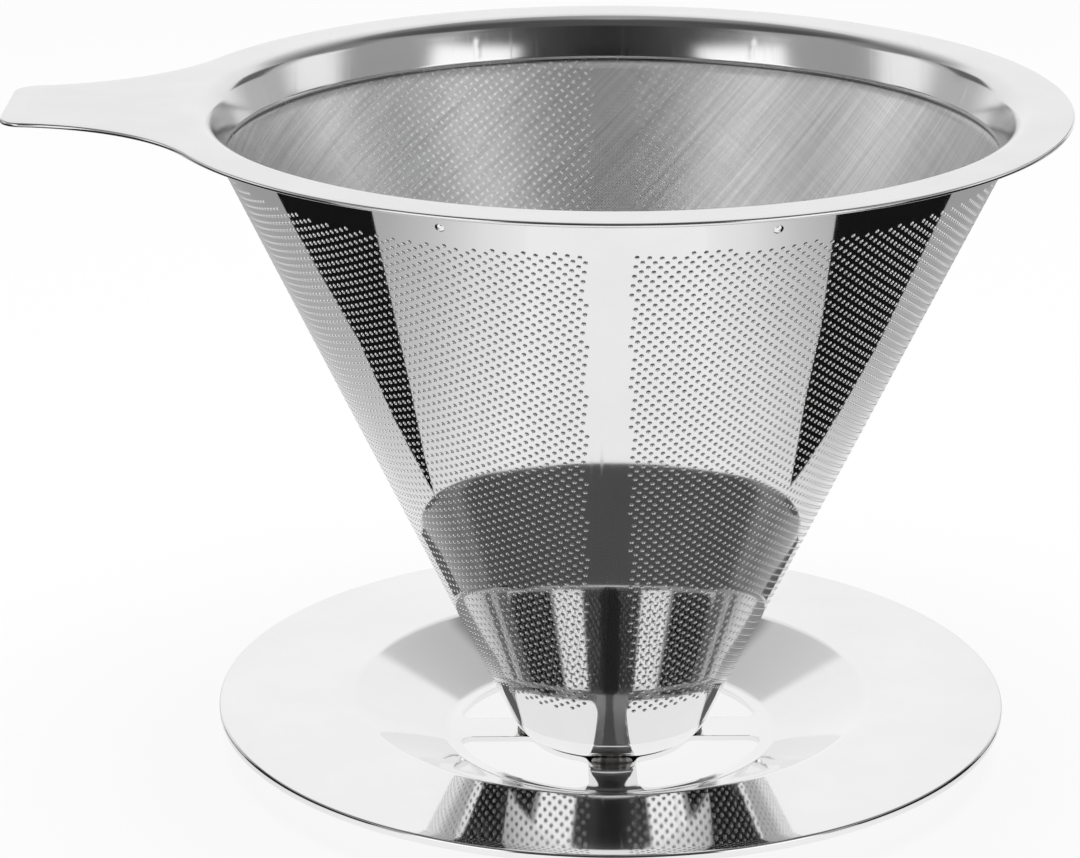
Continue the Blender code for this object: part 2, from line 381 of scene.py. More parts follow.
def addBump(nodes, links, shader, height, look):
    bump = nodes.new("ShaderNodeBump")
    bump.inputs["Strength"].default_value = look["bump"]
    bump.inputs["Distance"].default_value = look["bumpDepth"] * mm
    links.new(height, bump.inputs["Height"])
    links.new(bump.outputs["Normal"], shader.inputs["Normal"])


def steelMaterial(name, look):
    # polished steel: a metallic shader whose tint, roughness and bump come from the sheetPolish group
    mat, nodes, links, shader = newMaterial(name, {"Metallic": 1.0})
    polish = useGroup(nodes, polishGroup, look["polish"])
    tint = nodes.new("ShaderNodeValToRGB")
    fillRamp(tint, [(0.3, look["dark"]), (0.7, look["light"])])
    links.new(polish.outputs["Mask"], tint.inputs["Fac"])
    links.new(tint.outputs["Color"], shader.inputs["Base Color"])
    links.new(polish.outputs["Roughness"], shader.inputs["Roughness"])
    addBump(nodes, links, shader, polish.outputs["Height"], look)
    return mat


print("shader groups made")


# rim with its collar and handle

rim = {
    "thickness": 0.6,
    "bend": 3.0,             # radius where the rim turns down into the collar
    "collarDepth": 6.0,
    "collarRadius": 55.25,   # where the collar's face would meet the rim's top face
    "collarBow": 0.016,      # how quickly the collar's wall steepens towards its lower edge
    "bowBelow": 1.9,         # depth where the bow starts
    "halfWidth": 10.9,       # of the handle's tip
    "fillet": 30.0,          # where the handle flares into the rim
    "corner": 3.5,           # of the handle's tip
    "crimps": 8,
    "crimpWidth": 0.32,
    "crimpDepth": 0.055,
    "crimpBelow": 3.9,       # depth of a crimp's middle
    "crimpHeight": 1.3,      # half of a crimp's height
    "crimpRadius": 54.0,     # of the wall that the crimps are in
    "ringPoints": 1000,
}
rimLook = {
    "dark": (0.77, 0.77, 0.77), "light": (0.82, 0.82, 0.82), "bump": 0.15, "bumpDepth": 0.02,
    "polish": {"Roughness": 0.13, "Haze": 0.10, "Haze Scale": 90.0,
               "Scratches": 0.35, "Scratch Scale": 1400.0},
}
rimSteel = steelMaterial("rimSteel", rimLook)


def rimOutline():
    # outline of the rim and handle from above, centred on the axis: circle, fillets, rounded tip
    radius, fillet, corner = rimRadius, rim["fillet"], rim["corner"]
    fy = rim["halfWidth"] + fillet
    fx = -math.sqrt((radius + fillet) ** 2 - fy ** 2)
    cx = -handleReach + corner
    cy = fy - math.sqrt((fillet + corner) ** 2 - (cx - fx) ** 2)
    toFillet = math.atan2(fy - cy, fx - cx)
    tangent = math.atan2(fy, fx)
    tip = np.stack([np.full(12, -handleReach), np.linspace(0, cy, 12)], 1)
    upper = np.vstack([
        tip[:-1],
        arcPoints((cx, cy), corner, math.pi, toFillet, 18),
        arcPoints((fx, fy), fillet, toFillet - math.pi, math.atan2(-fy, -fx), 70)[1:],
    ])
    ring = arcPoints((0, 0), radius, tangent, -tangent, rim["ringPoints"])[1:-1]
    lower = upper[::-1] * [1, -1]
    return np.vstack([upper, ring, lower[:-1]])


def makeRim():
    # every outline point carries one closed loop:
    # collar face, bend, flat top, round edge, underside, collar back
    outline = rimOutline()
    normal = pathNormals(outline, closed=True)
    if (normal * outline).sum() < 0:
        normal = -normal
    angle = np.arctan2(outline[:, 1], outline[:, 0])
    t = rim["thickness"]
    low = rimTop - rim["collarDepth"] + t / 2
    lowRadius = rim["collarRadius"] - (rimTop - low) * math.tan(wall["halfAngle"])
    shoulder = (rim["collarRadius"], rimTop, rim["bend"])
    inner = bentPath([(lowRadius, low), shoulder, (rimRadius, rimTop)], 16)[:-1]
    inner = splitRuns(inner, 0.4)
    wallTop = rimTop - rim["bowBelow"]
    bow = np.clip(wallTop - inner[:, 1], 0, None)
    inner[:, 0] += rim["collarBow"] * bow * (bow - bow.max() / 2) * (inner[:, 1] < wallTop)
    back = inner + pathNormals(inner) * t
    ray = np.stack([np.cos(angle), np.sin(angle)], 1)

    def ringRows(profile):
        rows = profile[None, :, 0, None] * ray[:, None, :]
        heights = np.broadcast_to(profile[:, 1], (len(angle), len(profile)))
        return np.concatenate([rows, heights[..., None]], -1)

    topRows = ringRows(inner)
    backRows = ringRows(back)
    beta = np.linspace(0, math.pi, 9)
    edgeXY = outline[:, None] - normal[:, None] * (t / 2 * (1 - np.sin(beta)))[None, :, None]
    edgeZ = np.broadcast_to(rimTop - t / 2 * (1 - np.cos(beta)), edgeXY.shape[:2])
    edgeRows = np.concatenate([edgeXY, edgeZ[..., None]], -1)
    s = np.linspace(0, 1, 6)[1:-1, None]
    flatTop = topRows[:, -1:, :] * (1 - s) + edgeRows[:, :1, :] * s
    flatUnder = edgeRows[:, -1:, :] * (1 - s) + backRows[:, -1:, :] * s
    mid = (backRows[:, 0] + topRows[:, 0]) / 2
    down = np.array([0, 0, -1.0])
    c = np.linspace(0, math.pi, 7)[1:-1]
    cap = (mid[:, None] + (backRows[:, 0] - mid)[:, None] * np.cos(c)[None, :, None]
           + down * (t / 2 * np.sin(c))[None, :, None])
    pts = np.concatenate([topRows, flatTop, edgeRows, flatUnder, backRows[:, ::-1], cap], 1)

    # crimps: narrow upright dents in the collar where it is locked to the cone
    step = tau / rim["crimps"]
    turned = angle - (seamTurn - math.pi / 2) - step / 2
    away = (turned + step / 2) % step - step / 2
    along = away * rim["crimpRadius"] / rim["crimpWidth"]
    depth = rimTop - pts[..., 2]
    zone = np.exp(-((rim["crimpBelow"] - depth) / rim["crimpHeight"]) ** 4)
    zone *= np.hypot(pts[..., 0], pts[..., 1]) < rim["crimpRadius"] + rim["bend"]
    dent = rim["crimpDepth"] * np.exp(-along ** 2)[:, None] * zone
    pts[..., :2] += dent[..., None] * ray[:, None, :]

    pts[..., 0] += axisX
    verts = pts.reshape(-1, 3)
    faces = faceOut(verts, [gridFaces(pts.shape[0], pts.shape[1])])
    keep(addMesh("rim_and_handle", verts, faces), rimSteel, "rim_steel", "rim_with_handle")


makeRim()
print("rim and handle made")


# perforated cone

cone = {
    "top": 92.0,
    "bottom": 4.25,
    "pitch": 1.56,                       # between holes in a row; rows are half of it apart
    "tilt": math.radians(5.9),           # rows turned from square to the front strip
    "firstHole": (-3.556, 124.89),       # a hole near the top of the strip, on the flat sheet
    "holeRadius": 0.25,
    "rollover": 0.08,                    # width of the rounded lip round each hole
    "rolloverDepth": 0.105,
    "topRow": 125.45,                    # distances from the apex, along the wall
    "bottomRow": 41.15,
    "strip": 2.75,                       # half width of the plain strip at the front
    "backStrip": 3.2,                    # the same beside the seam at the back
    "panels": 11,
    "cells": 185,                        # of the lattice to each side of the first hole
    "sharp": 46.0,                       # degrees between faces that meet in a crisp edge
}
coneLook = {
    "dark": (0.82, 0.82, 0.82), "light": (0.86, 0.86, 0.86), "bump": 0.12, "bumpDepth": 0.015,
    "polish": {"Roughness": 0.035, "Haze": 0.06, "Haze Scale": 70.0,
               "Scratches": 0.2, "Scratch Scale": 1100.0},
}
coneSteel = steelMaterial("perforatedSteel", coneLook)
sinA, cosA = math.sin(wall["halfAngle"]), math.cos(wall["halfAngle"])


def rollUp(flat, depth):
    # flat sheet point (x, y), apex at the origin and strip along +y, to its place on the cone
    rho = np.hypot(flat[..., 0], flat[..., 1])
    turn = np.arctan2(flat[..., 0], flat[..., 1]) / sinA + seamTurn
    r = rho * sinA - depth * cosA
    z = wall["apex"] + rho * cosA + depth * sinA
    return aroundAxis(r, turn, z)


def sheetNormal(flat):
    # the cone's outward direction at a flat sheet point
    turn = np.arctan2(flat[..., 0], flat[..., 1]) / sinA + seamTurn
    return np.stack([cosA * np.sin(turn), -cosA * np.cos(turn), np.full(turn.shape, -sinA)], -1)


def makeCone():
    # the flat sheet is a lattice of square cells, each plain or with an eight-sided hole, then rolled up
    pitch, tilt = cone["pitch"], cone["tilt"]
    row = pitch * np.array([math.cos(tilt), -math.sin(tilt)])
    column = pitch * np.array([-math.sin(tilt), -math.cos(tilt)])
    stepA, stepB = (row + column) / 2, (row - column) / 2
    idx = np.arange(-cone["cells"], cone["cells"] + 1)
    gi, gj = np.meshgrid(idx, idx, indexing="ij")
    first = np.array(cone["firstHole"])
    centres = first + gi[..., None] * stepA + gj[..., None] * stepB
    corners = centres - (stepA + stepB) / 2

    rhoMin = (cone["bottom"] - wall["apex"]) / cosA
    rhoMax = (cone["top"] - wall["apex"]) / cosA
    phiMax = math.pi * sinA
    rho = np.hypot(corners[..., 0], corners[..., 1])
    phi = np.arctan2(corners[..., 0], corners[..., 1])
    inside = (rho > rhoMin) & (rho < rhoMax) & (np.abs(phi) < phiMax)
    rhoIn = np.clip(rho, rhoMin, rhoMax)
    phiIn = np.clip(phi, -phiMax, phiMax)
    corners = np.stack([rhoIn * np.sin(phiIn), rhoIn * np.cos(phiIn)], -1)

    n = len(idx)
    cellIn = inside[:-1, :-1] | inside[1:, :-1] | inside[1:, 1:] | inside[:-1, 1:]
    centres = centres[:-1, :-1]
    cRho = np.hypot(centres[..., 0], centres[..., 1])
    cPhi = np.arctan2(centres[..., 0], centres[..., 1])
    holed = (cRho < cone["topRow"]) & (cRho > cone["bottomRow"])
    holed &= np.abs(centres[..., 0]) > cone["strip"]
    holed &= cRho * np.sin(np.clip(phiMax - np.abs(cPhi), -1, 1)) > cone["backStrip"]
    holed &= cellIn
    panel = np.clip(((cPhi + phiMax) / (2 * phiMax) * cone["panels"]).astype(int), 0, cone["panels"] - 1)

    ring = np.arange(8)                      # the corners of a hole
    way = np.sign(stepA[0] * stepB[1] - stepA[1] * stepB[0])
    ringTurn = math.atan2(stepA[1], stepA[0]) + way * ring * math.pi / 4
    unit = np.stack([np.cos(ringTurn), np.sin(ringTurn)], 1)
    for k in range(cone["panels"]):
        mine = cellIn & (panel == k)
        ci, cj = np.nonzero(mine)
        quads = np.stack([ci * n + cj, (ci + 1) * n + cj, (ci + 1) * n + cj + 1, ci * n + cj + 1], 1)
        plain = ~holed[ci, cj]
        used, local = np.unique(quads, return_inverse=True)
        local = local.reshape(quads.shape)
        flat = corners.reshape(-1, 2)[used]
        count = len(used)
        middle = centres[mine & holed]
        holes = len(middle)
        lipRing = middle[:, None] + (cone["holeRadius"] + cone["rollover"]) * unit
        holeRing = middle[:, None] + cone["holeRadius"] * unit

        outer = rollUp(flat, 0.0)
        inner = rollUp(flat, wall["thickness"])
        lip = rollUp(lipRing, 0.0).reshape(-1, 3)
        edge = rollUp(holeRing, cone["rolloverDepth"]).reshape(-1, 3)
        back = rollUp(holeRing, wall["thickness"]).reshape(-1, 3)
        verts = np.vstack([outer, inner, lip, edge, back])
        lipAt = 2 * count + np.arange(holes)[:, None] * 8 + ring
        edgeAt = lipAt + 8 * holes
        backAt = edgeAt + 8 * holes

        cornerAt = local[~plain]             # the four corners in order round each hole
        between = (5, 7, 1, 3)               # the corner of the hole that faces each of them
        outerTris, innerTris = [], []
        for c in range(4):
            mid = between[c]
            here, nextCorner = cornerAt[:, c], cornerAt[:, (c + 1) % 4]
            before, after = (mid - 1) % 8, (mid + 1) % 8
            outerTris += [
                np.stack([here, lipAt[:, mid], lipAt[:, before]], 1),
                np.stack([here, lipAt[:, after], lipAt[:, mid]], 1),
                np.stack([here, nextCorner, lipAt[:, after]], 1),
            ]
            innerTris += [
                np.stack([here + count, backAt[:, before], backAt[:, mid]], 1),
                np.stack([here + count, backAt[:, mid], backAt[:, after]], 1),
                np.stack([here + count, backAt[:, after], nextCorner + count], 1),
            ]
        outerTris = np.vstack(outerTris)
        innerTris = np.vstack(innerTris)
        nxt = np.roll(ring, -1)
        chamfer = np.stack([lipAt, lipAt[:, nxt], edgeAt[:, nxt], edgeAt], -1).reshape(-1, 4)
        bore = np.stack([edgeAt, edgeAt[:, nxt], backAt[:, nxt], backAt], -1).reshape(-1, 4)

        # side walls along every edge that only one cell of this panel has
        sides = np.vstack([local[:, [0, 1]], local[:, [1, 2]], local[:, [2, 3]], local[:, [3, 0]]])
        keyed = np.sort(sides, 1) @ np.array([count, 1])
        _, where, times = np.unique(keyed, return_index=True, return_counts=True)
        rimEdges = sides[where[times == 1]]
        start, end = rimEdges.T
        walls = np.stack([end, start, start + count, end + count], 1)

        flatQuads = local[plain]
        faces = [flatQuads, flatQuads[:, ::-1] + count, outerTris, innerTris, chamfer, bore, walls]
        faces = faceOut(verts, faces)
        piece = addMesh("cone_panel_%02d" % (k + 1), verts, faces)
        mesh = piece.data
        mesh.set_sharp_from_angle(angle=math.radians(cone["sharp"]))
        # both faces of the sheet take the cone's own direction, so that the panels meet without a line;
        # corners left at zero keep their own
        facing = np.vstack([sheetNormal(flat), -sheetNormal(flat), sheetNormal(lipRing).reshape(-1, 3),
                            np.zeros((8 * holes, 3)), -sheetNormal(holeRing).reshape(-1, 3)])
        corner = np.empty(len(mesh.loops), int)
        mesh.loops.foreach_get("vertex_index", corner)
        sheetCorners = sum(f.size for f in faces[:4])
        normals = facing[corner]
        normals[sheetCorners:] = 0.0
        mesh.normals_split_custom_set(normals)
        keep(piece, coneSteel, "perforated_steel", "outer_cone")
        print("cone panel", k + 1, "holes", holes)


makeCone()

seamBead = {
    "halfWidth": 0.45,
    "height": 0.08,
    "sink": 0.1,               # how deep it sits in the wall
    "ripple": 0.02,
    "rippleLength": 0.5,
    "ends": (0.1, 0.4),        # how far it stops short of the cone's bottom and top
}


def makeSeamBead():
    # a low ridge along the back seam: a half sine across, with small ripples along its length
    rhoMin = (cone["bottom"] + seamBead["ends"][0] - wall["apex"]) / cosA
    rhoMax = (cone["top"] - seamBead["ends"][1] - wall["apex"]) / cosA
    rho = np.linspace(rhoMin, rhoMax, 400)[:, None]
    across = np.linspace(-1, 1, 9)[None, :]
    ripple = 1 + seamBead["ripple"] / seamBead["height"] * np.sin(tau * rho / seamBead["rippleLength"])
    lift = seamBead["height"] * np.cos(across * math.pi / 2) * ripple
    turn = seamTurn + math.pi + across * seamBead["halfWidth"] / (rho * sinA)

    def surface(height):
        return aroundAxis(rho * sinA + height * cosA, turn, wall["apex"] + rho * cosA - height * sinA)

    rings = np.concatenate([surface(lift), surface(-seamBead["sink"])[:, ::-1]], 1)
    piece = cappedTube("cone_seam_bead", rings)
    piece.data.set_sharp_from_angle(angle=crispAngle)
    keep(piece, coneSteel, "perforated_steel")


crimp = {
    "radius": 0.68,
    "lift": 0.3,
    "sink": 0.25,              # how deep its flat back lies in the wall
    "height": 89.3,            # of its middle
    "round": 0.8,              # below 1 the dome is blunter than a cosine
}


def makeCrimps():
    # small domes pressed out of the plain top band: a cosine cap over a flat disc, closed at both poles
    count, rows = 24, 9
    v = np.linspace(0, 1, rows)[1:, None]
    u = np.linspace(0, tau, count, endpoint=False)[None, :]
    ring = crimp["radius"] * v
    across, along = ring * np.cos(u), ring * np.sin(u)
    lift = crimp["lift"] * np.cos(v * math.pi / 2) ** crimp["round"] + 0 * u
    for number in range(rim["crimps"]):
        turn = seamTurn + (number + 0.5) * tau / rim["crimps"]
        z = crimp["height"]

        def place(x, y, out):
            r = wallRadius(z + y * cosA) + out * cosA
            a = turn + x / wallRadius(z)
            return aroundAxis(r, a, z + y * cosA - out * sinA)

        cap = place(across, along, lift).reshape(-1, 3)
        base = place(across[-1:], along[-1:], np.full((1, count), -crimp["sink"])).reshape(-1, 3)
        poles = place(np.zeros(2), np.zeros(2), np.array([crimp["lift"], -crimp["sink"]]))
        verts = np.vstack([cap, base, poles])
        i = np.arange(count)
        j = np.roll(i, -1)
        n = len(cap) + count
        topFan = np.stack([np.full(count, n), i, j], 1)
        lowFan = np.stack([np.full(count, n + 1), len(cap) + j, len(cap) + i], 1)
        faces = faceOut(verts, [gridFaces(rows, count, wrapRows=False), topFan, lowFan])
        piece = addMesh("cone_crimp_%d" % (number + 1), verts, faces)
        piece.data.set_sharp_from_angle(angle=crispAngle)
        keep(piece, coneSteel, "perforated_steel")


makeSeamBead()
makeCrimps()
print("cone made")


# mesh lining

lining = {
    "top": 87.0,
    "bottom": 3.2,
    "thickness": 0.12,
    "gap": 0.03,               # to the cone's inner face
    "floorTop": 3.6,           # where the dished floor starts down the wall
    "floorHeight": 1.75,
    "floorBend": 3.4,
    "floorPole": 0.4,          # radius of the small fan at its middle
}
meshLook = {
    "pitch": 0.30,             # between wires, in millimetres on the flat sheet
    "turn": -45.0,
    "cover": (0.24, 0.62),     # how closed the weave looks at the handle's side and opposite
    "coverFrom": (-10, 25),    # the two places in X between which it closes
    "streaks": 1.0,
    "streakRange": (0.7, 1.3),
    "dark": (0.66, 0.66, 0.66),
    "light": (0.98, 0.98, 0.98),
    "metallic": 0.6,
    "roughness": 0.25,
    "paintedShadeFront": 0.6,          # painted shade: how much darker the weave's colour is made at the front
    "paintedShadeFrom": (-2, 32),      # the two places in Y between which the painted shade fades out
    "bump": 0.35,
    "bumpDepth": 0.05,
}


def wovenMaterial():
    # woven wire: the gaps between the wires are clear, so the holes behind shine through
    mat, nodes, links, shader = newMaterial(
        "wovenWire", {"Metallic": meshLook["metallic"], "Roughness": meshLook["roughness"]})
    uv = nodes.new("ShaderNodeUVMap")
    uv.uv_map = "flatSheet"
    turn = nodes.new("ShaderNodeMapping")
    turn.inputs["Rotation"].default_value = (0.0, 0.0, math.radians(meshLook["turn"]))
    links.new(uv.outputs["UV"], turn.inputs["Vector"])
    weave = useGroup(nodes, weaveGroup, {"Pitch": meshLook["pitch"], "Streaks": meshLook["streaks"]})
    axes = axesOf(nodes, links, "Object")
    low, high = meshLook["coverFrom"]
    closing = mapRange(nodes, links, axes["X"], low * mm, high * mm, *meshLook["cover"])
    links.new(closing.outputs["Result"], weave.inputs["Cover"])
    links.new(turn.outputs["Vector"], weave.inputs["Vector"])
    shade = mapRange(nodes, links, weave.outputs["Shade"], *meshLook["streakRange"])
    tint = nodes.new("ShaderNodeValToRGB")
    fillRamp(tint, [(0.0, meshLook["dark"]), (1.0, meshLook["light"])])
    links.new(shade.outputs["Result"], tint.inputs["Fac"])
    # painted shade: the weave's colour is darkened towards the front, by Object Y
    low, high = meshLook["paintedShadeFrom"]
    paintedShade = mapRange(nodes, links, axes["Y"], low * mm, high * mm, meshLook["paintedShadeFront"])
    scale = nodes.new("ShaderNodeVectorMath")
    scale.operation = "SCALE"
    links.new(tint.outputs["Color"], scale.inputs[0])
    links.new(paintedShade.outputs["Result"], scale.inputs["Scale"])
    links.new(scale.outputs["Vector"], shader.inputs["Base Color"])
    links.new(weave.outputs["Cover"], shader.inputs["Alpha"])
    addBump(nodes, links, shader, weave.outputs["Height"], meshLook)
    return mat


wovenWire = wovenMaterial()


def makeMeshCone():
    # the lining's wall: a straight cone just inside the sheet, its flat pattern kept as a uv map
    inset = wall["thickness"] + lining["gap"]
    count, rows = 360, 60
    z = np.linspace(lining["top"], lining["bottom"], rows)
    t = np.linspace(0, tau, count + 1)
    walls = [np.stack([wallRadius(z, inset + extra), z], 1) for extra in (0.0, lining["thickness"])]
    r, h = np.vstack([walls[0], walls[1][::-1]]).T
    verts = aroundAxis(r, t[:-1, None], h).reshape(-1, 3)
    quads = gridFaces(count, len(h))
    faces = faceOut(verts, [quads])
    # the flat pattern is kept for each face's corners, so that it may part at the back
    i, j = np.divmod(np.arange(len(quads)), len(h))
    cornerTurn = t[np.stack([i, i + 1, i + 1, i], 1)]
    rho = ((h - wall["apex"]) / cosA)[np.stack([j, j, (j + 1) % len(h), (j + 1) % len(h)], 1)]
    phi = (cornerTurn - math.pi) * sinA
    uv = np.stack([rho * np.sin(phi), rho * np.cos(phi)], -1)
    if not np.array_equal(faces[0], quads):
        uv = uv[:, ::-1]
    keep(addMesh("mesh_lining", verts, faces, uv), wovenWire, "woven_steel", "mesh_cone")


def makeMeshFloor():
    # the lining's dished bottom: a bent profile turned about the axis, closed at two poles
    inset = wall["thickness"] + lining["gap"]
    path = bentPath([
        (wallRadius(lining["floorTop"], inset), lining["floorTop"]),
        (wallRadius(lining["floorHeight"], inset), lining["floorHeight"], lining["floorBend"]),
        (lining["floorPole"], lining["floorHeight"]),
    ], 14)
    path = splitRuns(path, 0.8)
    other = path + pathNormals(path) * lining["thickness"]
    loop = np.vstack([path[::-1], other])
    count, rows = 180, len(loop)
    pts = spin(loop, count)
    verts = np.vstack([pts.reshape(-1, 3), [[axisX, 0, loop[0, 1]], [axisX, 0, loop[-1, 1]]]])
    around = np.arange(count)
    ahead = np.roll(around, -1)
    pole = np.full(count, count * rows)
    poleA = np.stack([pole, ahead * rows, around * rows], 1)
    poleB = np.stack([pole + 1, (around + 1) * rows - 1, (ahead + 1) * rows - 1], 1)
    faces = faceOut(verts, [gridFaces(count, rows, wrapCols=False), poleA, poleB])
    uv = np.stack([verts[:, 0] - axisX, verts[:, 1]], 1)
    keep(addMesh("mesh_lining_floor", verts, faces, uv), wovenWire, "woven_steel", "mesh_floor")


hem = {
    "above": 1.0,              # how far it stands over the lining's top edge, and how far below
    "below": 0.05,
    "gap": 0.02,
    "thickness": 0.3,
}
# painted shade: the hem's steel is coloured nearly black, standing for the shade in the gap under the
# collar's lower edge
hemShadedLook = {
    "dark": (0.16, 0.16, 0.16), "light": (0.26, 0.26, 0.26), "bump": 0.3, "bumpDepth": 0.03,
    "polish": {"Roughness": 0.22, "Haze": 0.15, "Haze Scale": 160.0,
               "Scratches": 0.5, "Scratch Scale": 1500.0},
}
hemShadedSteel = steelMaterial("hemShadedSteel", hemShadedLook)


def makeHem():
    # the folded steel band over the lining's top edge: a straight strip of sheet down the wall, turned;
    # its steel is painted dark as shade
    z = np.array([lining["top"] + hem["above"], lining["top"] - hem["below"]])
    path = np.stack([wallRadius(z, wall["thickness"] + hem["gap"]), z], 1)
    piece = turnedPiece("mesh_hem", sheetLoop(path, hem["thickness"]), 360)
    keep(piece, hemShadedSteel, "hem_steel", "mesh_hem_ring")


makeMeshCone()
makeMeshFloor()
makeHem()
print("lining made")


# foot

foot = {
    "bend": 4.2,
    "drain": 8.5,              # radius of the opening
    "thickness": 0.4,
    "lower": 0.25,             # how far it goes below its CAD solid, down to the arms
    "topGap": 0.05,
}
footLook = {
    "dark": (0.90, 0.90, 0.90), "light": (0.95, 0.95, 0.95), "bump": 0.12, "bumpDepth": 0.02,
    "polish": {"Roughness": 0.07, "Haze": 0.06, "Haze Scale": 120.0,
               "Scratches": 0.25, "Scratch Scale": 1300.0},
}
footSteel = steelMaterial("footSteel", footLook)


def makeFoot():
    # the rounded cup under the cone: wall, bend and a flat lip round the drain, as one turned sheet
    top, bottom = footHigh[2] - foot["topGap"], footLow[2] - foot["lower"]
    path = bentPath([
        (wallRadius(top), top),
        (wallRadius(bottom), bottom, foot["bend"]),
        (foot["drain"], bottom),
    ], 18)
    piece = turnedPiece("foot", sheetLoop(splitRuns(path, 1.0), foot["thickness"]), 240)
    keep(piece, footSteel, "foot_steel", "foot_cup")


makeFoot()
print("foot made")


# saucer stand

stand = {
    "thickness": 0.8,
    "lip": 0.9,               # how far the brim's face runs down at its edge
    "edgeBend": 0.4,
    "recess": 36.7,           # radius of the crest where the brim drops into the recess
    "recessFloor": 23.5,
    "recessBend": 3.0,
    "drain": 8.5,             # radius of the opening in the hub
    "windowInner": 11.5,
    "windowOuter": 22.0,
    "windowCorner": 1.8,
    "armHalfWidth": 3.4,
    "windowBevel": 0.14,
    "cutFrom": -2.0,          # the cutters reach from below the recess floor to above it
    "cutTo": 3.0,
    "sharp": 32.0,            # degrees between faces that meet in a crisp edge
}
standLook = {
    "dark": (0.86, 0.86, 0.86), "light": (0.90, 0.90, 0.90), "bump": 0.1, "bumpDepth": 0.015,
    "polish": {"Roughness": 0.045, "Haze": 0.05, "Haze Scale": 60.0,
               "Scratches": 0.25, "Scratch Scale": 1000.0},
}
standSteel = steelMaterial("standSteel", standLook)


def windowOutline():
    # a quarter of a ring between two arms, its four corners rounded
    corner, half = stand["windowCorner"], stand["armHalfWidth"]
    low = half + corner
    outer, inner = stand["windowOuter"] - corner, stand["windowInner"] + corner
    ox, ix = math.sqrt(outer ** 2 - low ** 2), math.sqrt(inner ** 2 - low ** 2)
    oa, ia = math.atan2(low, ox), math.atan2(low, ix)
    right = math.pi / 2
    side = np.vstack([
        arcPoints((ix, low), corner, ia + math.pi, 3 * right, 12),
        arcPoints((ox, low), corner, -right, oa, 12),
    ])
    return np.vstack([
        side,
        arcPoints((0, 0), stand["windowOuter"], oa, right - oa, 60)[1:-1],
        side[::-1, ::-1],
        arcPoints((0, 0), stand["windowInner"], right - ia, ia, 30)[1:-1],
    ])


def makeStand():
    # the turned saucer, with four windows cut through its recess and their edges eased
    top = stand["thickness"]
    path = bentPath([
        (stand["drain"], top),
        (stand["recessFloor"], top, stand["recessBend"]),
        (stand["recess"], brimTop, stand["recessBend"]),
        (standRadius, brimTop, stand["edgeBend"]),
        (standRadius, brimTop - stand["lip"]),
    ], 12)
    loop = sheetLoop(splitRuns(path, 1.6), stand["thickness"])
    piece = turnedPiece("saucer", loop, 360)
    outline = windowOutline()
    count = len(outline)
    cutters = []
    for quarter in range(4):
        a = quarter * math.pi / 2
        turned = outline @ np.array([[math.cos(a), math.sin(a)], [-math.sin(a), math.cos(a)]])
        turned[:, 0] += axisX
        ends = [np.full(count, stand[end]) for end in ("cutFrom", "cutTo")]
        verts = np.vstack([np.column_stack([turned, z]) for z in ends])
        i = np.arange(count)
        walls = np.stack([i, (i + 1) % count, (i + 1) % count + count, i + count], 1)
        cutter = addMesh("window_cut_%d" % quarter, verts, [walls, i[None, ::-1], i[None, :] + count])
        cutters.append(cutter)
        cut = piece.modifiers.new("window%d" % quarter, "BOOLEAN")
        cut.operation = "DIFFERENCE"
        cut.object = cutter
    easing = piece.modifiers.new("easedEdges", "BEVEL")
    easing.width = stand["windowBevel"] * mm
    easing.segments = 2
    easing.limit_method = "ANGLE"
    easing.angle_limit = crispAngle
    done = bpy.data.meshes.new_from_object(piece.evaluated_get(bpy.context.evaluated_depsgraph_get()))
    piece.modifiers.clear()
    piece.data = done
    for cutter in cutters:
        bpy.data.objects.remove(cutter, do_unlink=True)
    done.name = "saucer"
    done.shade_smooth()
    done.set_sharp_from_angle(angle=math.radians(stand["sharp"]))
    done.materials.clear()
    keep(piece, standSteel, "stand_steel", "saucer_stand")


makeStand()
print("stand made")


# weld beads

bead = {
    "sides": {"right": 0.0, "back": 0.5, "left": 1.0, "front": 1.5},    # turns of half a circle
    "circle": 12.75,           # radius of the circle that they lie on
    "halfWidth": 2.9,
    "leg": 0.8,
    "round": 0.55,             # radius of the section, and its middle outwards and upwards, in legs
    "out": 0.15,
    "up": 0.35,
    "lift": 0.1,
    "tip": 0.04,               # size of the ends, in legs
    "ripple": 0.05,
    "ripples": 5,
}
weldLook = {
    "dark": (0.20, 0.19, 0.18), "light": (0.52, 0.51, 0.50), "bump": 0.6, "bumpDepth": 0.08,
    "polish": {"Roughness": 0.35, "Haze": 0.3, "Haze Scale": 500.0,
               "Scratches": 0.2, "Scratch Scale": 2000.0},
}
weldSteel = steelMaterial("weldSteel", weldLook)


def makeBeads():
    # each bead fills the corner between the foot and an arm:
    # a circle that swells and ripples, carried along an arc
    for number, (side, turns) in enumerate(bead["sides"].items()):
        s = np.linspace(-1, 1, 49)[:, None]
        swell = bead["tip"] + (1 - bead["tip"]) * np.sqrt(np.clip(1 - s ** 4, 0, 1))
        leg = bead["leg"] * swell * (1 + bead["ripple"] * np.sin(math.pi * bead["ripples"] * s + number))
        u = np.linspace(0, tau, 16, endpoint=False)[None, :]
        r = bead["circle"] + leg * (bead["round"] * np.cos(u) + bead["out"])
        z = stand["thickness"] + bead["lift"] + leg * (bead["round"] * np.sin(u) + bead["up"])
        turn = turns * math.pi + s * math.asin(bead["halfWidth"] / bead["circle"])
        rings = np.stack([axisX + r * np.cos(turn), r * np.sin(turn), z], -1)
        keep(cappedTube("weld_" + side, rings), weldSteel, "weld_steel", "weld_bead_" + side)


makeBeads()
print("welds made")


# floor, light and camera

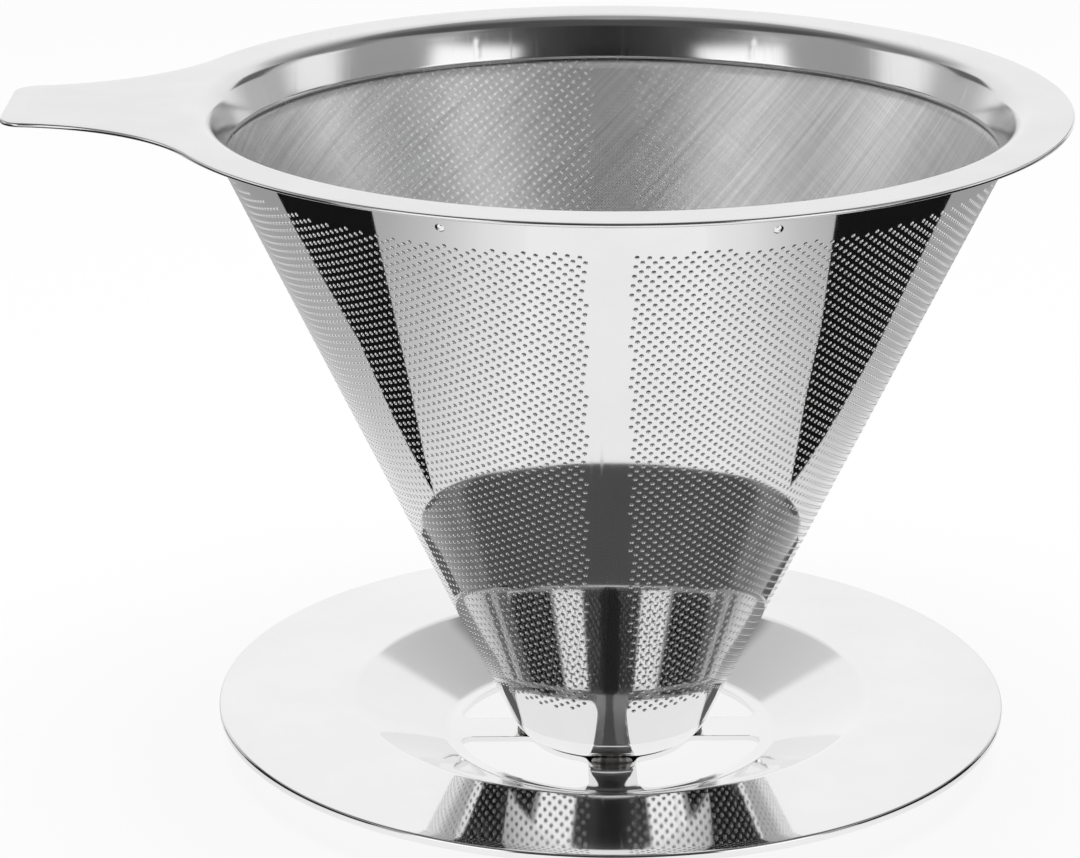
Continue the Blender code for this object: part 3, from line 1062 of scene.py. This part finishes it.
studio = {
    "floorSize": 6.0,
    "floorDrop": 0.02,         # millimetres below the object
    "floorColour": (0.1, 0.1, 0.1),
    "floorGlow": 0.87,         # the floor is a lit white table: its own brightness
    "overhead": 9.5,           # watts of the soft light above, which the steel does not mirror
    "overheadSize": 0.9,
    "overheadPlace": (0.0, 0.05, 0.9),
    # brightness of the room seen from the object, by turn away from the far side (degrees)
    "low": [(0, 0.98), (33, 0.92), (44, 0.55), (62, 0.5), (70, 1.0), (84, 1.0), (90, 0.36), (119, 0.36),
            (122, 1.25), (149, 1.25), (152, 0.05), (166, 0.045), (174, 0.02), (180, 0.02)],
    "middle": [(0, 0.9), (12, 0.85), (26, 0.62), (40, 0.4), (60, 0.2), (84, 0.25), (92, 0.36),
               (112, 0.38), (126, 0.45), (136, 0.16), (150, 0.08), (166, 0.045), (180, 0.03)],
    "high": [(0, 0.4), (30, 0.25), (60, 0.12), (90, 0.08), (130, 0.09), (180, 0.085)],
    "lowTop": 33.0,            # degrees above the horizon where one band gives way to the next
    "middleTop": 52.0,
    "bandBlend": 2.0,
}


def sheetOf(name, corners, mat):
    # one flat polygon through the corners
    piece = addMesh(name, np.array(corners, float), [np.arange(len(corners))[None, :]])
    piece.data.materials.append(mat)
    return piece


def makeFloor():
    half, z = studio["floorSize"] / 2 / mm, -studio["floorDrop"]
    mat = newMaterial("studioFloor", {
        "Base Color": (*studio["floorColour"], 1.0), "Roughness": 0.9, "Specular IOR Level": 0.0,
        "Emission Color": (1.0, 1.0, 1.0, 1.0), "Emission Strength": studio["floorGlow"]})[0]
    corners = [(-half, -half, z), (half, -half, z), (half, half, z), (-half, half, z)]
    sheetOf("studio_floor", corners, mat)


def makeWorld():
    # three bands of the room, one above another, each a ramp round the horizon
    world = bpy.data.worlds.new("studioRoom")
    bpy.context.scene.world = world
    world.use_nodes = True
    nodes, links = world.node_tree.nodes, world.node_tree.links
    background = nodes["Background"]
    calc = calculator(nodes, links)
    axes = axesOf(nodes, links, "Generated")
    turn = calc("ARCTAN2", axes["X"], axes["Y"])
    turn = calc("DIVIDE", calc("ABSOLUTE", turn), math.pi)
    brightest = max(value for band in ("low", "middle", "high") for _, value in studio[band])
    ramps = []
    for band in ("low", "middle", "high"):
        ramp = nodes.new("ShaderNodeValToRGB")
        fillRamp(ramp, [(degrees / 180, (value / brightest,) * 3) for degrees, value in studio[band]])
        links.new(turn, ramp.inputs["Fac"])
        ramps.append(ramp.outputs["Color"])
    colour = ramps[0]
    for ramp, edge in zip(ramps[1:], ("lowTop", "middleTop")):
        start, end = (math.sin(math.radians(studio[edge] + way * studio["bandBlend"])) for way in (-1, 1))
        fade = mapRange(nodes, links, axes["Z"], start, end)
        fade.interpolation_type = "SMOOTHSTEP"
        mix = nodes.new("ShaderNodeMix")
        mix.data_type = "RGBA"
        links.new(fade.outputs["Result"], mix.inputs["Factor"])
        links.new(colour, mix.inputs[6])
        links.new(ramp, mix.inputs[7])
        colour = mix.outputs[2]
    links.new(colour, background.inputs["Color"])
    background.inputs["Strength"].default_value = brightest


def onlyMirrored(obj):
    # a card seen in the steel but not by the camera, and casting no shade
    obj.visible_camera = False
    obj.visible_diffuse = False
    obj.visible_shadow = False
    obj.visible_transmission = False
    obj.visible_volume_scatter = False


# black cards that give the steel its dark streaks: an outline on the floor and three boards at each side
cards = {
    "left": [(-51, 2), (-58, -2), (-70, -13), (-94, -33), (-125, -62), (-200, -85), (-200, 110),
             (-117, 49), (-88, 20), (-70, 14)],
    "right": [(73, -2), (86, -19), (96, -29), (105, -45), (128, -85), (210, -85), (210, 84),
              (141, 50), (111, 35), (94, 20)],
    "floorGap": 0.3,
    # boards standing at both sides: front end, back end, lower edge, upper edge
    "boards": {"near": (-95, 60, 0.5, 100), "far": (60, 128, 70, 138), "high": (178, 330, 166, 260)},
    "boardsAway": 170.0,
    "blackness": {"flat": 0.006, "near": 0.01, "far": 0.12, "high": 0.12},
    # grey sheets on the floor at both sides: brightness by distance from the axis
    "grey": [(40, 0.95), (60, 0.84), (80, 0.62), (100, 0.47), (135, 0.36)],
    "greyGap": 0.15,
    "greyDepth": (-150, 320),
    "greyWidth": 260,
}


def makeCards():
    black = {place: newMaterial(place + "Card", {
        "Base Color": (value, value, value, 1.0), "Roughness": 1.0, "Specular IOR Level": 0.0})[0]
        for place, value in cards["blackness"].items()}
    grey, nodes, links, shader = newMaterial("greyCard", {
        "Base Color": (0.0, 0.0, 0.0, 1.0), "Specular IOR Level": 0.0, "Emission Strength": 1.0})
    calc = calculator(nodes, links)
    width = cards["greyWidth"]
    away = calc("SUBTRACT", axesOf(nodes, links, "Object")["X"], axisX * mm)
    away = calc("DIVIDE", calc("ABSOLUTE", away), width * mm)
    ramp = nodes.new("ShaderNodeValToRGB")
    fillRamp(ramp, [(distance / width, (value,) * 3) for distance, value in cards["grey"]])
    links.new(away, ramp.inputs["Fac"])
    links.new(ramp.outputs["Color"], shader.inputs["Emission Color"])
    for side, way in (("left", -1), ("right", 1)):
        flat = [(x, y, cards["floorGap"]) for x, y in cards[side]]
        onlyMirrored(sheetOf("card_" + side, flat, black["flat"]))
        (near, _), (y0, y1), z = cards["grey"][0], cards["greyDepth"], cards["greyGap"]
        x0, x1 = sorted((axisX + way * near, axisX + way * width))
        corners = [(x0, y0, z), (x1, y0, z), (x1, y1, z), (x0, y1, z)]
        onlyMirrored(sheetOf("grey_card_" + side, corners, grey))
        x = axisX + way * cards["boardsAway"]
        for place, (front, back, low, high) in cards["boards"].items():
            corners = [(x, front, low), (x, back, low), (x, back, high), (x, front, high)]
            onlyMirrored(sheetOf("board_%s_%s" % (side, place), corners, black[place]))


def makeLight():
    # a soft round light above, which lights the floor and the weave but is not mirrored
    data = bpy.data.lights.new("overhead", "AREA")
    data.shape = "DISK"
    data.size = studio["overheadSize"]
    data.energy = studio["overhead"]
    light = bpy.data.objects.new("overhead", data)
    light.location = studio["overheadPlace"]
    bpy.context.scene.collection.objects.link(light)
    light.visible_camera = False
    light.visible_glossy = False


camera = {
    "place": (-2.76, -485.2, 209.96),
    "yaw": 0.33,               # degrees towards +X
    "pitch": 18.65,            # degrees downwards
    "roll": -0.14,
    "lens": 121.57,
    "sensor": 36.0,
    "nearest": 0.01,
}


def makeCamera():
    # turned level to the far side, then down, a little aside and a little askew
    data = bpy.data.cameras.new("studioCamera")
    data.sensor_width = camera["sensor"]
    data.lens = camera["lens"]
    data.clip_start = camera["nearest"]
    obj = bpy.data.objects.new("studioCamera", data)
    bpy.context.scene.collection.objects.link(obj)
    turn = Euler((math.radians(90 - camera["pitch"]), 0.0, math.radians(-camera["yaw"]))).to_matrix()
    turn = turn @ Matrix.Rotation(math.radians(camera["roll"]), 3, "Z")
    obj.matrix_world = Matrix.Translation([v * mm for v in camera["place"]]) @ turn.to_4x4()
    bpy.context.scene.camera = obj


makeFloor()
makeWorld()
makeCards()
makeLight()
makeCamera()
bpy.context.scene.view_settings.view_transform = "Standard"
print("studio made")
